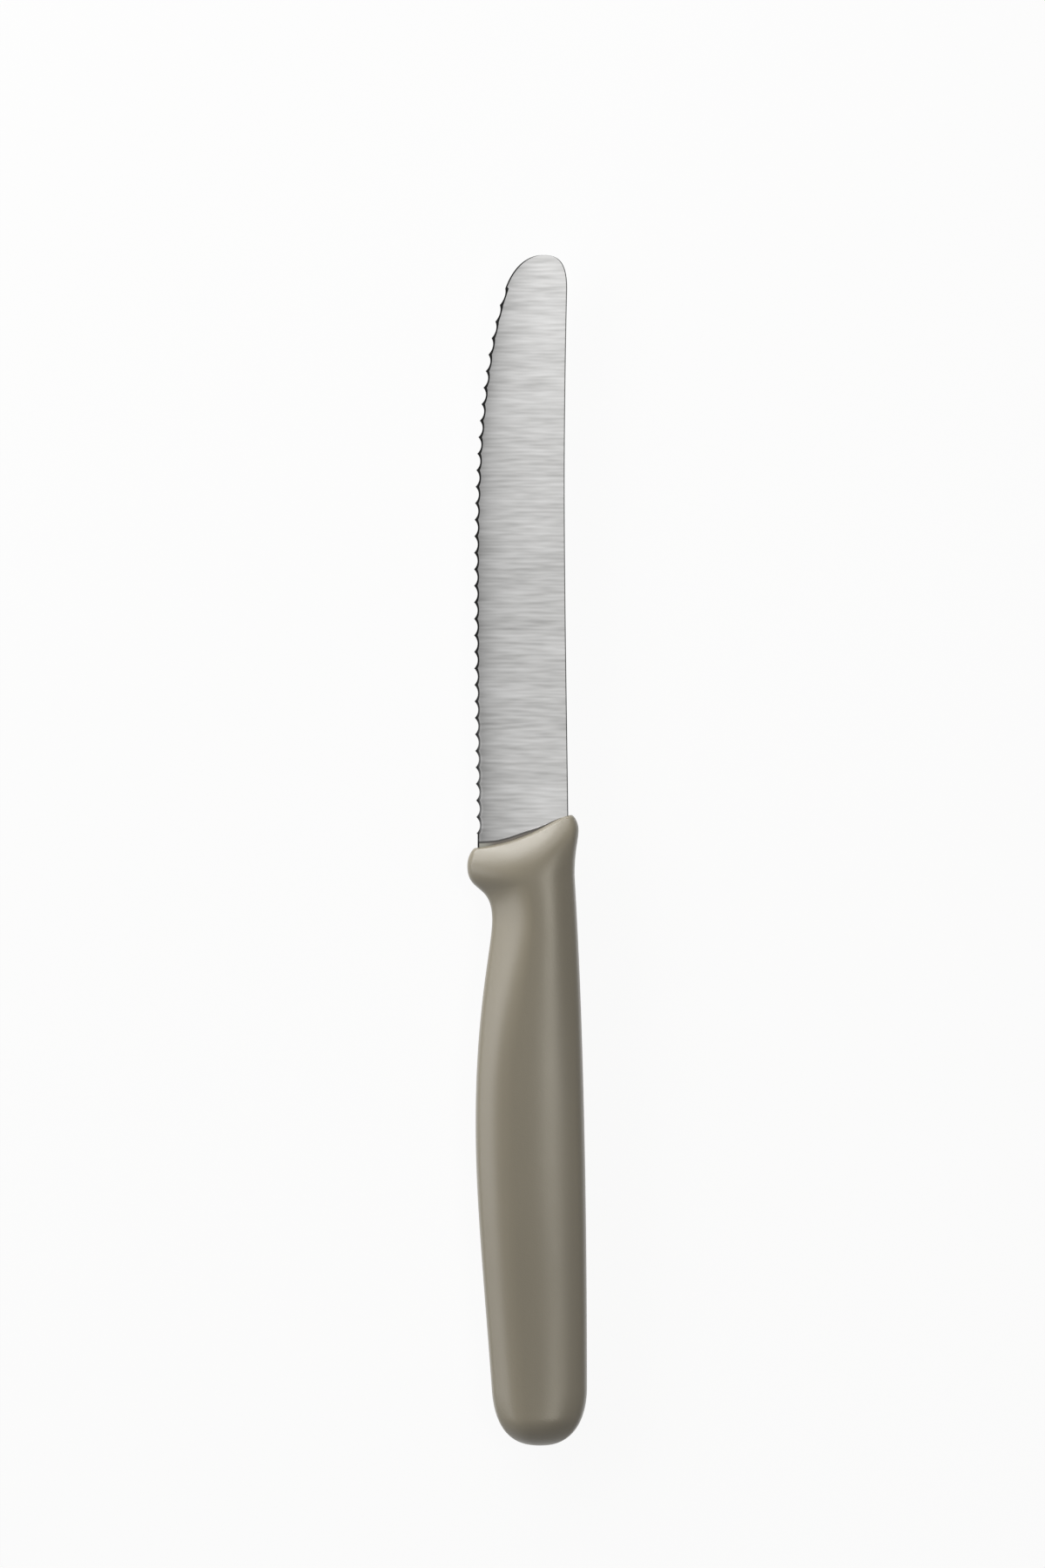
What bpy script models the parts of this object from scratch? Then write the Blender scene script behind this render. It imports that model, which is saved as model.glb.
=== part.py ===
"""Serrated utility knife: a thin ground steel blade with a flat tang, in a moulded plastic handle.

The knife lies on its side, with +Y to the tip, -X to the cutting edge, +X to the spine and +Z up.
In the knife's own frame, y = 0 is where the cutting edge enters the handle, x = 0 is the handle's
centre line and z = 0 is the blade's middle plane. An empty carries both pieces. It stands the
knife on the flat of its handle, centred on the origin. All sizes are in metres.
"""

import math

import bmesh
import bpy
import numpy as np
from mathutils import Matrix

# Blade, seen on its flat. Offsets are measured from the centre line, to the edge or to the spine.
BLADE_REACH = 0.1096
HEEL_OFFSET = 0.00914
BELLY_OFFSET = 0.00981
BELLY_AT = 0.0433
TIP_EDGE_OFFSET = 0.00405
TIP_EDGE_SLOPE = 0.36
TIP_LENGTH = 0.0062
TIP_APEX_OFFSET = 0.0031
SPINE_OFFSET = 0.00760
SPINE_WAIST_OFFSET = 0.00695
SPINE_WAIST_AT = 0.068
SPINE_TIP_OFFSET = 0.00740

# Teeth: concave scallops that meet in points. The first few from the tip are shallower. The last
# point, by the handle, stands out a little from the plain heel.
TEETH_FROM = 0.0027
HEEL_STEP = 0.0002
HEEL_STEP_LENGTH = 0.00012
TOOTH_PITCH = 0.00305
TOOTH_DEPTH = 0.00065
SHALLOW_TOOTH_DEPTH = 0.00040
SHALLOW_TEETH = 5

# Blade, seen on its edge
STOCK_THICKNESS = 0.0015
SPINE_THICKNESS = 0.0014
SPINE_TIP_THICKNESS = 0.0009
THIN_THICKNESS = 0.00027
ROLL_WIDTH = 0.0045
ROLL_DROP = 0.00003
SPINE_CHAMFER = 0.00015
EDGE_FLAT = 0.00004
EDGE_RAISE = 0.00004
BEVEL_AT_POINT = 0.00055
BEVEL_AT_GULLET = 0.00025
HOLLOW_AT_POINT = 0.00045
HOLLOW_AT_GULLET = 0.0013
HOLLOW_SINK = 0.00002
RUN_OUT_AT = 0.00105
RUN_OUT_LENGTH = 0.0007
RUN_OUT_MIDDLE = 0.7
LEAN_LENGTH = 0.0081
TIP_FLAT = 0.00003

# Tang, hidden in the handle
HIDDEN_FROM = 0.0012
SHOULDER_DEPTH = 0.0046
SHOULDER_ROUND = 0.0010
SHOULDER_FILLET = 0.0012
TANG_EDGE_OFFSET = 0.0040
TANG_SPINE_OFFSET = 0.0052
TANG_END_EDGE_OFFSET = 0.0032
TANG_END_SPINE_OFFSET = 0.0046
TANG_REACH = 0.072
TANG_CORNER = 0.0020
TANG_HOLE_RADIUS = 0.0020
TANG_HOLE_OFFSET = 0.0007
TANG_HOLES_AT = (0.026, 0.054)
TANG_CLEARANCE = 0.0003
POCKET_FRONT = 0.006

# Handle outline. The rim is where the plastic ends on the blade: it rises towards the spine.
HANDLE_LENGTH = 0.1104
RIM_RISE = 0.00612
RIM_LIP = 0.0003
GUARD_OFFSET = 0.01107
GUARD_AT = 0.00326
NECK_OFFSET = 0.00646
NECK_AT = 0.01326
GRIP_OFFSET = 0.00952
GRIP_AT = 0.0510
BUTT_EDGE_OFFSET = 0.00653
BUTT_TAPER = 0.072
BUTT_ROUND_LENGTH = 0.0104
BUTT_APEX_OFFSET = 0.00241
LOBE_OFFSET = 0.00952
LOBE_RISE = 0.00334
THUMB_OFFSET = 0.00879
THUMB_AT = 0.00486
BACK_OFFSET = 0.01108
BACK_ROUND_LENGTH = 0.0107

# Handle thickness. It is the same from the collar, where the dome behind the rim ends, to the end
# of the flat land that the handle lies on. The collar leans less than the rim.
HANDLE_THICKNESS = 0.0118
BUTT_THICKNESS = 0.0112
COLLAR_AT = 0.0048
COLLAR_LEAN = 0.0030
STRAIGHT_FROM = 0.0160
LAND_TO = 0.0620
BUTT_EDGE_ROUND = 0.0046
BUTT_THINNING = 0.012
BUTT_FLAT = 0.00002
LAND_WIDTH = 0.0020

# A cross section's sides are bent like superellipses: the first power says how long the top stays
# flat, the second how full the side is. At 2 and 2 a side is an ellipse. At the neck the crown lies
# further over and the edge side is rounder than along the grip. The rim's squareness fades quickly.
NECK_SECTION_AT = 0.010
GRIP_SECTION_AT = 0.045
CROWN_AT_NECK = 0.58
CROWN_AT_GRIP = 0.39
EDGE_POWERS_AT_NECK = (1.65, 1.65)
EDGE_POWERS_AT_GRIP = (3.1, 1.65)
SPINE_POWERS = (1.65, 2.65)
RIM_POWER = 14.0
RIM_FADE = 6.0

# Steps of the meshes
TOOTH_STEPS = 6
TIP_STEPS = 11
SHOULDER_RINGS = 13
QUARTER_STEPS = 7
BUTT_RINGS = 10
ARC_STEPS = 4
HOLE_SIDES = 28
CURVE_STEPS = 240
SHARP_ANGLE = 32.0

# Where the points of a row lie across the blade, as shares of its width
SHEET_POINTS = (0.0, 0.05, 0.15, 0.3, 0.55, 0.93, 1.0)
ROLL_BETWEEN = (0.35, 0.7)
BEVEL_AT_MOST = 0.1
HOLLOW_AT_MOST = 0.2

COLOURS = {
    "steel": ((0.62, 0.62, 0.62), 0.32, 1.0),
    "handle_plastic": ((0.266, 0.235, 0.191), 0.48, 0.0),
}


def curve(start, end, leave, arrive, pulls):
    """Points of a cubic curve that leaves and arrives in given directions, as (x, y) steps.

    The pulls say how strongly it follows each direction, as shares of its reach that way.
    """
    start, end = np.array(start, float), np.array(end, float)
    handles = []
    for direction, pull in zip((leave, arrive), pulls):
        direction = np.array(direction, float) / np.hypot(*direction)
        handles.append(direction * pull * abs((end - start) @ direction))
    first, second = start + handles[0], end - handles[1]
    t = np.linspace(0.0, 1.0, CURVE_STEPS)[:, None]
    s = 1.0 - t
    return s**3 * start + 3 * s**2 * t * first + 3 * s * t**2 * second + t**3 * end


def x_along(outline, y):
    """The x of an outline at y."""
    order = np.argsort(outline[:, 1], kind="stable")
    return np.interp(y, outline[order, 1], outline[order, 0])


def smooth(value):
    """Goes from 0 to 1 with soft ends."""
    value = np.clip(value, 0.0, 1.0)
    return value * value * (3.0 - 2.0 * value)


def rim_rise(across):
    """How far the slanting rim has risen, from the edge side (0, 0) to the spine side (1, 1)."""
    rim = curve((0.0, 0.0), (1.0, 1.0), (0.94, 0.34), (0.94, 0.33), (0.54, 0.19))
    return np.interp(across, rim[:, 0], rim[:, 1])


def teeth_to():
    """Where the first tooth point lies, next to the rounded tip."""
    return BLADE_REACH - TIP_LENGTH


def tooth_line():
    """The line through the tooth points, from the heel to the last tooth before the tip."""
    heel, belly = (-HEEL_OFFSET - HEEL_STEP, TEETH_FROM), (-BELLY_OFFSET, BELLY_AT)
    tip = (-TIP_EDGE_OFFSET, teeth_to())
    low = curve(heel, belly, (-0.01, 1.0), (0.0, 1.0), (0.26, 0.45))
    high = curve(belly, tip, (0.0, 1.0), (TIP_EDGE_SLOPE, 1.0), (0.243, 0.312))
    return np.vstack([low, high])


def tip_edge_outline():
    """The tip's outline from the last tooth up to its apex."""
    start, apex = (-TIP_EDGE_OFFSET, teeth_to()), (TIP_APEX_OFFSET, BLADE_REACH)
    return curve(start, apex, (TIP_EDGE_SLOPE, 1.0), (1.0, 0.0), (0.36, 0.56))


def tip_spine_outline():
    """The tip's outline from the spine up to its apex."""
    start, apex = (SPINE_TIP_OFFSET, teeth_to()), (TIP_APEX_OFFSET, BLADE_REACH)
    return curve(start, apex, (0.0, 1.0), (-1.0, 0.0), (0.76, 0.67))


def spine_outline():
    """The spine, which bows in a little between the handle and the tip."""
    rim, waist = (SPINE_OFFSET, RIM_RISE), (SPINE_WAIST_OFFSET, SPINE_WAIST_AT)
    tip = (SPINE_TIP_OFFSET, teeth_to())
    low = curve(rim, waist, (-0.012, 1.0), (0.0, 1.0), (0.3, 0.32))
    high = curve(waist, tip, (0.0, 1.0), (0.025, 1.0), (0.28, 0.28))
    return np.vstack([low, high])


def ground_height(x, y, line_x):
    """Half the blade's thickness where it is ground: a flat wedge that rolls off to the edge."""
    taper = (SPINE_THICKNESS - SPINE_TIP_THICKNESS) / 2.0 / teeth_to()
    spine_at_belly = SPINE_THICKNESS / 2.0 - taper * BELLY_AT
    slope = (spine_at_belly - THIN_THICKNESS / 2.0) / (SPINE_OFFSET + BELLY_OFFSET)
    wedge = SPINE_THICKNESS / 2.0 - slope * (SPINE_OFFSET - x) - taper * y
    into_roll = np.clip(1.0 - (x - line_x) / ROLL_WIDTH, 0.0, 1.5)
    return wedge - ROLL_DROP * into_roll**2


def blade_row(y, edge_x, spine_x, line_x, bevel, hollow, blunt=0.0, rise=0.0, sheet=0.0):
    """One row of points round the blade: over the upper face to the spine and back underneath.

    A row lies further on at the spine by its rise. Blunt goes from 0, a cutting edge, to 1, an
    edge as thick as the blade is there. Sheet goes from 0, the ground faces, to 1, the flat sheet.
    """
    width = spine_x - edge_x
    roll_x = np.clip(line_x + ROLL_WIDTH, *[edge_x + share * width for share in ROLL_BETWEEN])
    bevel_x = edge_x + min(bevel, BEVEL_AT_MOST * width)
    hollow_x = edge_x + min(hollow, HOLLOW_AT_MOST * width)
    shoulder_x = spine_x - SPINE_CHAMFER

    def along(x):
        return y + rise * rim_rise((x - edge_x) / width)

    def face(x):
        return ground_height(x, along(x), line_x)

    def blended(sharp, x, side):
        return sharp + (side * face(x) - sharp) * blunt

    upper_edge, lower_edge = EDGE_RAISE + EDGE_FLAT / 2.0, EDGE_RAISE - EDGE_FLAT / 2.0
    hollow_middle = (lower_edge - face(hollow_x)) / 2.0 + HOLLOW_SINK
    upper = [(edge_x, blended(upper_edge, edge_x, 1.0))]
    for x in (bevel_x, *np.linspace(bevel_x, roll_x, 4)[1:], shoulder_x):
        upper.append((x, face(x)))
    upper.append((spine_x, face(spine_x) - SPINE_CHAMFER))
    lower = [(spine_x, SPINE_CHAMFER - face(spine_x))]
    for x in (shoulder_x, roll_x, (roll_x + hollow_x) / 2.0, hollow_x):
        lower.append((x, -face(x)))
    middle_x = (hollow_x + edge_x) / 2.0
    lower.append((middle_x, blended(hollow_middle, middle_x, -1.0)))
    lower.append((edge_x, blended(lower_edge, edge_x, -1.0)))
    half = STOCK_THICKNESS / 2.0
    row = [(x, along(x), z + (half - z) * sheet) for x, z in upper]
    return row + [(x, along(x), z - (half + z) * sheet) for x, z in lower]


def sheet_row(y):
    """A row at the full thickness of the sheet, with its upper and lower points in pairs."""
    half = STOCK_THICKNESS / 2.0
    upper = []
    for across in SHEET_POINTS:
        x = -HEEL_OFFSET + (SPINE_OFFSET + HEEL_OFFSET) * across
        upper.append((x, y + RIM_RISE * rim_rise(across), half))
    return upper + [(x, along, -half) for x, along, _ in reversed(upper)]


def row_lean(y):
    """The rows of the blade lie square to it, and lean over to the rim's slant at the heel."""
    return RIM_RISE * np.clip(1.0 - y / LEAN_LENGTH, 0.0, 1.0)


def tip_rows():
    """Rows from the apex down to the last tooth, where the blunt outline turns into the edge."""
    edge, spine = tip_edge_outline(), tip_spine_outline()
    rows = []
    for step in range(TIP_STEPS, 0, -1):
        y = teeth_to() + TIP_LENGTH * math.sin(math.pi / 2.0 * step / TIP_STEPS)
        inside = min(y, BLADE_REACH - TIP_FLAT)
        line_x = TIP_EDGE_SLOPE * (y - teeth_to()) - TIP_EDGE_OFFSET
        blunt = smooth((y - teeth_to()) / (TIP_LENGTH / 2.0))
        edge_x, spine_x = x_along(edge, inside), x_along(spine, inside)
        rows.append(blade_row(y, edge_x, spine_x, line_x, BEVEL_AT_GULLET, HOLLOW_AT_POINT, blunt))
    return rows


def tooth_rows():
    """Rows along the teeth, from the tip to the heel."""
    line, spine = tooth_line(), spine_outline()
    count = round((teeth_to() - TEETH_FROM) / TOOTH_PITCH)
    pitch = (teeth_to() - TEETH_FROM) / count
    rows = []
    for step in range(count * TOOTH_STEPS + 1):
        tooth = min(step // TOOTH_STEPS, count - 1)
        share = step / TOOTH_STEPS - tooth
        y = teeth_to() - (tooth + share) * pitch
        depth = SHALLOW_TOOTH_DEPTH
        depth += (TOOTH_DEPTH - SHALLOW_TOOTH_DEPTH) * min(tooth / SHALLOW_TEETH, 1.0)
        radius = (pitch**2 / 4.0 + depth**2) / (2.0 * depth)
        inset = math.sqrt(radius**2 - (pitch * (share - 0.5)) ** 2) - (radius - depth)
        gullet = inset / depth
        bevel = BEVEL_AT_POINT + (BEVEL_AT_GULLET - BEVEL_AT_POINT) * gullet
        hollow = HOLLOW_AT_POINT + (HOLLOW_AT_GULLET - HOLLOW_AT_POINT) * gullet
        rise = row_lean(y)
        line_x, spine_x = x_along(line, y), x_along(spine, y + rise)
        rows.append(blade_row(y, line_x + inset, spine_x, line_x, bevel, hollow, rise=rise))
    return rows


def heel_rows():
    """Rows from the last tooth into the handle: a plain edge, then the run-out to the full sheet."""
    spine = spine_outline()
    heel_from = TEETH_FROM - HEEL_STEP_LENGTH
    run_out_from, run_out_to = RUN_OUT_AT + RUN_OUT_LENGTH / 2.0, RUN_OUT_AT - RUN_OUT_LENGTH / 2.0
    rows = []
    for y, sheet in ((heel_from, 0.0), (run_out_from, 0.0), (RUN_OUT_AT, RUN_OUT_MIDDLE)):
        rise = row_lean(y)
        sides = -HEEL_OFFSET, x_along(spine, y + rise), -HEEL_OFFSET
        rows.append(blade_row(y, *sides, BEVEL_AT_GULLET, HOLLOW_AT_POINT, rise=rise, sheet=sheet))
    return rows + [sheet_row(run_out_to), sheet_row(0.0), sheet_row(-HIDDEN_FROM)]


def rounded(corners):
    """An open outline through corners (x, y, radius), each turned on an arc of its radius."""
    points = [corners[0][:2]]
    for before, corner, after in zip(corners, corners[1:], corners[2:]):
        here = np.array(corner[:2])
        to_before, to_after = np.array(before[:2]) - here, np.array(after[:2]) - here
        to_before /= np.hypot(*to_before)
        to_after /= np.hypot(*to_after)
        half = math.acos(np.clip(to_before @ to_after, -1.0, 1.0)) / 2.0
        middle = to_before + to_after
        centre = here + middle / np.hypot(*middle) * corner[2] / math.sin(half)
        start = here + to_before * corner[2] / math.tan(half)
        end = here + to_after * corner[2] / math.tan(half)
        first = math.atan2(*(start - centre)[::-1])
        turn = math.atan2(*(end - centre)[::-1]) - first
        turn = (turn + math.pi) % (2.0 * math.pi) - math.pi
        for angle in np.linspace(first, first + turn, ARC_STEPS + 1):
            points.append(tuple(centre + corner[2] * np.array((math.cos(angle), math.sin(angle)))))
    points.append(corners[-1][:2])
    return points


def tang_outline(front_spine_y, front_edge_y, grow):
    """The hidden part of the blade, from its spine side round the tang's end to its edge side.

    Grow moves every side outwards, for the pocket that the tang sits in.
    """
    spine_x, edge_x = SPINE_OFFSET + grow, -HEEL_OFFSET - grow
    spine_step, edge_step = RIM_RISE - SHOULDER_DEPTH - grow, -SHOULDER_DEPTH - grow
    outer, inner = SHOULDER_ROUND + grow, SHOULDER_FILLET - grow
    end = -TANG_REACH - grow
    return rounded(
        [
            (spine_x, front_spine_y, 0.0),
            (spine_x, spine_step, outer),
            (TANG_SPINE_OFFSET + grow, spine_step, inner),
            (TANG_END_SPINE_OFFSET + grow, end, TANG_CORNER + grow),
            (-TANG_END_EDGE_OFFSET - grow, end, TANG_CORNER + grow),
            (-TANG_EDGE_OFFSET - grow, edge_step, inner),
            (edge_x, edge_step, outer),
            (edge_x, front_edge_y, 0.0),
        ]
    )


def new_object(name, mesh, parent=None):
    thing = bpy.data.objects.new(name, mesh)
    bpy.context.scene.collection.objects.link(thing)
    thing.parent = parent
    return thing


def new_mesh(name, build):
    """A mesh made by a function that fills a bmesh, with its faces turned outwards."""
    mesh = bpy.data.meshes.new(name)
    work = bmesh.new()
    build(work)
    bmesh.ops.recalc_face_normals(work, faces=work.faces)
    work.to_mesh(mesh)
    work.free()
    mesh.shade_smooth()
    mesh.set_sharp_from_angle(angle=math.radians(SHARP_ANGLE))
    return mesh


def loft(work, rings):
    """Joins rings of as many points each with quads, and returns the rings' vertices."""
    made = [[work.verts.new(point) for point in ring] for ring in rings]
    for ring, following in zip(made, made[1:]):
        for index in range(len(ring)):
            after = (index + 1) % len(ring)
            work.faces.new((ring[index], ring[after], following[after], following[index]))
    return made


def build_blade(work):
    """The blade and tang: rows of points lofted from the tip to the handle, then the flat tang."""
    made = loft(work, tip_rows() + tooth_rows() + heel_rows())
    work.faces.new(made[0])
    upper, lower = made[-1][: len(SHEET_POINTS)], made[-1][len(SHEET_POINTS) :]
    hidden = tang_outline(upper[-1].co.y, upper[0].co.y, 0.0)[1:-1]
    half = STOCK_THICKNESS / 2.0
    top = [work.verts.new((x, y, half)) for x, y in hidden]
    bottom = [work.verts.new((x, y, -half)) for x, y in hidden]
    work.faces.new(upper + top)
    work.faces.new(lower + list(reversed(bottom)))
    sides_top = [upper[-1]] + top + [upper[0]]
    sides_bottom = [lower[0]] + bottom + [lower[-1]]
    for index in range(len(sides_top) - 1):
        work.faces.new(
            (sides_top[index], sides_top[index + 1], sides_bottom[index + 1], sides_bottom[index])
        )


def cylinder(work, x, y, radius, length):
    bmesh.ops.create_cone(
        work,
        cap_ends=True,
        segments=HOLE_SIDES,
        radius1=radius,
        radius2=radius,
        depth=length,
        matrix=Matrix.Translation((x, y, 0.0)),
    )


def add_cut(thing, cutter, name):
    """Cuts one object by another, which is then only a guide."""
    cut = thing.modifiers.new(name, "BOOLEAN")
    cut.operation = "DIFFERENCE"
    cut.solver = "EXACT"
    cut.object = cutter
    cutter.hide_render = True
    cutter.display_type = "WIRE"


def tang_pins(name, radius, length, knife):
    """Round guides at the tang's holes, all in one mesh."""

    def build(work):
        for at in TANG_HOLES_AT:
            cylinder(work, TANG_HOLE_OFFSET, -at, radius, length)

    return new_object(name, new_mesh(name, build), knife)


def tang_pocket(knife):
    """The room for the tang: its outline with a clearance, open at the rim, less the plugs."""

    def build(work):
        front = RIM_RISE + POCKET_FRONT
        outline = tang_outline(front, front, TANG_CLEARANCE)
        half = STOCK_THICKNESS / 2.0 + TANG_CLEARANCE
        face = work.faces.new([work.verts.new((x, y, -half)) for x, y in outline])
        raised = bmesh.ops.extrude_face_region(work, geom=[face])
        moved = [item for item in raised["geom"] if isinstance(item, bmesh.types.BMVert)]
        bmesh.ops.translate(work, verts=moved, vec=(0.0, 0.0, 2.0 * half))

    pocket = new_object("tang_pocket", new_mesh("tang_pocket", build), knife)
    plugs = tang_pins("tang_plugs", TANG_HOLE_RADIUS - TANG_CLEARANCE, 4.0 * STOCK_THICKNESS, knife)
    add_cut(pocket, plugs, "plugs")
    return pocket


def edge_side_outline():
    """The handle's outline on the cutting edge's side, from the rim to the butt."""
    rim = (-(HEEL_OFFSET + TANG_CLEARANCE + RIM_LIP), 0.0)
    guard, neck, grip = (-GUARD_OFFSET, -GUARD_AT), (-NECK_OFFSET, -NECK_AT), (-GRIP_OFFSET, -GRIP_AT)
    side = (-BUTT_EDGE_OFFSET, -(HANDLE_LENGTH - BUTT_ROUND_LENGTH))
    apex = (BUTT_APEX_OFFSET, -HANDLE_LENGTH)
    down, taper = (0.0, -1.0), (BUTT_TAPER, -1.0)
    spans = [
        curve(rim, guard, (-0.84, -0.54), down, (0.19, 0.51)),
        curve(guard, neck, down, down, (0.53, 0.70)),
        curve(neck, grip, down, down, (0.135, 0.577)),
        curve(grip, side, down, taper, (0.29, 0.414)),
        curve(side, apex, taper, (1.0, 0.0), (0.65, 0.62)),
    ]
    return np.vstack(spans)


def spine_side_outline():
    """The handle's outline on the spine's side, from the rim to the butt."""
    rim = (SPINE_OFFSET + TANG_CLEARANCE + RIM_LIP, RIM_RISE)
    lobe, thumb = (LOBE_OFFSET, LOBE_RISE), (THUMB_OFFSET, -THUMB_AT)
    back = (BACK_OFFSET, -(HANDLE_LENGTH - BACK_ROUND_LENGTH))
    apex = (BUTT_APEX_OFFSET, -HANDLE_LENGTH)
    down = (0.0, -1.0)
    spans = [
        curve(rim, lobe, (0.98, -0.2), down, (0.3, 0.5)),
        curve(lobe, thumb, down, down, (0.24, 0.56)),
        curve(thumb, back, down, down, (0.018, 0.68)),
        curve(back, apex, down, (-1.0, 0.0), (0.43, 0.81)),
    ]
    return np.vstack(spans)


def half_thickness_line():
    """Half the handle's thickness along it, from the collar to the butt, as (half, y) points."""
    full, butt = HANDLE_THICKNESS / 2.0, BUTT_THICKNESS / 2.0
    rounding = (butt, -(HANDLE_LENGTH - BUTT_EDGE_ROUND))
    down, taper = (0.0, -1.0), (-BUTT_THINNING, -1.0)
    spans = [
        np.array([(full, 0.0)]),
        curve((full, -LAND_TO), rounding, down, taper, (0.35, 0.3)),
        curve(rounding, (0.0, -HANDLE_LENGTH), taper, (-1.0, 0.0), (0.55, 0.68)),
    ]
    return np.vstack(spans)


def section_shape(y):
    """Where a cross section's crown lies across it, and the powers of its edge side."""
    to_grip = smooth((-y - NECK_SECTION_AT) / (GRIP_SECTION_AT - NECK_SECTION_AT))
    powers = [
        neck + (grip - neck) * to_grip for neck, grip in zip(EDGE_POWERS_AT_NECK, EDGE_POWERS_AT_GRIP)
    ]
    return CROWN_AT_NECK + (CROWN_AT_GRIP - CROWN_AT_NECK) * to_grip, powers


def handle_ring(edge_point, spine_point, half, square):
    """A closed cross section of the handle, from its edge side over the top and back underneath.

    It has a narrow flat land at its crown and bends down to both sides. At the rim, where square
    is 1, it is nearly a rectangle.
    """
    (edge_x, edge_y), (spine_x, spine_y) = edge_point, spine_point
    width = spine_x - edge_x
    crown_across, edge_powers = section_shape((edge_y + spine_y) / 2.0)
    crown = edge_x + crown_across * width
    sides = []
    for side_x, land_x, powers in (
        (edge_x, crown, edge_powers),
        (spine_x, crown + LAND_WIDTH, SPINE_POWERS),
    ):
        out_power, up_power = [2.0 / (power + (RIM_POWER - power) * square) for power in powers]
        side = []
        for step in range(QUARTER_STEPS):
            angle = math.pi / 2.0 * step / QUARTER_STEPS
            out, up = math.cos(angle) ** out_power, math.sin(angle) ** up_power
            side.append((land_x + (side_x - land_x) * out, half * up))
        side.append((land_x, half))
        sides.append(side)
    upper = sides[0] + sides[1][::-1]
    lower = [(x, -z) for x, z in reversed(upper[1:-1])]
    rise = spine_y - edge_y
    return [(x, edge_y + rise * rim_rise((x - edge_x) / width), z) for x, z in upper + lower]


def handle_rings():
    """Cross sections of the handle. They lean with the rim and straighten out along the neck."""
    edge_side, spine_side = edge_side_outline(), spine_side_outline()
    thickness = half_thickness_line()
    rings = []
    rim, full = STOCK_THICKNESS / 2.0 + TANG_CLEARANCE + RIM_LIP, HANDLE_THICKNESS / 2.0
    for step in range(SHOULDER_RINGS):
        angle = math.pi / 2.0 * step / SHOULDER_RINGS
        share = 1.0 - math.cos(angle)
        edge_y = -COLLAR_AT * share
        spine_y = RIM_RISE - (RIM_RISE + COLLAR_AT - COLLAR_LEAN) * share
        edge_point = (x_along(edge_side, edge_y), edge_y)
        spine_point = (x_along(spine_side, spine_y), spine_y)
        half = rim + (full - rim) * math.sin(angle)
        rings.append(handle_ring(edge_point, spine_point, half, (1.0 - share) ** RIM_FADE))
    for y in grip_stations():
        lean = COLLAR_LEAN * np.clip((STRAIGHT_FROM + y) / (STRAIGHT_FROM - COLLAR_AT), 0.0, 1.0)
        edge_point, spine_point = (x_along(edge_side, y), y), (x_along(spine_side, y + lean), y + lean)
        rings.append(handle_ring(edge_point, spine_point, x_along(thickness, y), 0.0))
    return rings


def grip_stations():
    """Where the straight cross sections lie, closer together where the handle turns."""
    butt_from = HANDLE_LENGTH - max(BUTT_ROUND_LENGTH, BUTT_EDGE_ROUND)
    spans = [
        (COLLAR_AT, STRAIGHT_FROM, 11),
        (STRAIGHT_FROM, LAND_TO, 13),
        (LAND_TO, butt_from, 9),
    ]
    stations = []
    for start, end, steps in spans:
        stations += [-(start + (end - start) * step / steps) for step in range(steps)]
    for step in range(BUTT_RINGS):
        angle = math.pi / 2.0 * step / BUTT_RINGS
        stations.append(-(butt_from + (HANDLE_LENGTH - butt_from) * math.sin(angle)))
    return stations + [BUTT_FLAT - HANDLE_LENGTH]


def build_handle(work):
    made = loft(work, handle_rings())
    rim = made[0]
    for index in range(len(rim) // 2):
        corners = [rim[index], rim[index + 1], rim[-index - 1], rim[-index]]
        work.faces.new(list(dict.fromkeys(corners)))
    work.faces.new(made[-1])


def material(name):
    colour, roughness, metallic = COLOURS[name]
    made = bpy.data.materials.new(name)
    made.use_nodes = True
    shader = made.node_tree.nodes["Principled BSDF"]
    shader.inputs["Base Color"].default_value = (*colour, 1.0)
    shader.inputs["Roughness"].default_value = roughness
    shader.inputs["Metallic"].default_value = metallic
    made.diffuse_color = (*colour, 1.0)
    return made


def make_blade(knife):
    blade = new_object("blade", new_mesh("blade", build_blade), knife)
    blade.data.materials.append(material("steel"))
    holes = tang_pins("tang_holes", TANG_HOLE_RADIUS, 4.0 * STOCK_THICKNESS, knife)
    add_cut(blade, holes, "tang_holes")


def make_handle(knife):
    handle = new_object("handle", new_mesh("handle", build_handle), knife)
    handle.data.materials.append(material("handle_plastic"))
    add_cut(handle, tang_pocket(knife), "tang_pocket")


def clear_scene():
    for thing in list(bpy.data.objects):
        bpy.data.objects.remove(thing, do_unlink=True)


def main():
    clear_scene()
    knife = new_object("knife", None)
    knife.location = (
        (GUARD_OFFSET - BACK_OFFSET) / 2.0,
        (HANDLE_LENGTH - BLADE_REACH) / 2.0,
        HANDLE_THICKNESS / 2.0,
    )
    make_blade(knife)
    make_handle(knife)


main()
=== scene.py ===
"""Looks of the serrated utility knife: brushed steel blade, moulded handle, floor, light and camera.

All sizes are in metres. In the knife's own frame, y = 0 is where the cutting edge enters the handle,
x = 0 is the handle's centre line and z = 0 is the blade's middle plane. PLACE moves it to the frame.
"""

import math

import bmesh
import bpy
import numpy as np
from mathutils import Matrix, Vector


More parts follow.
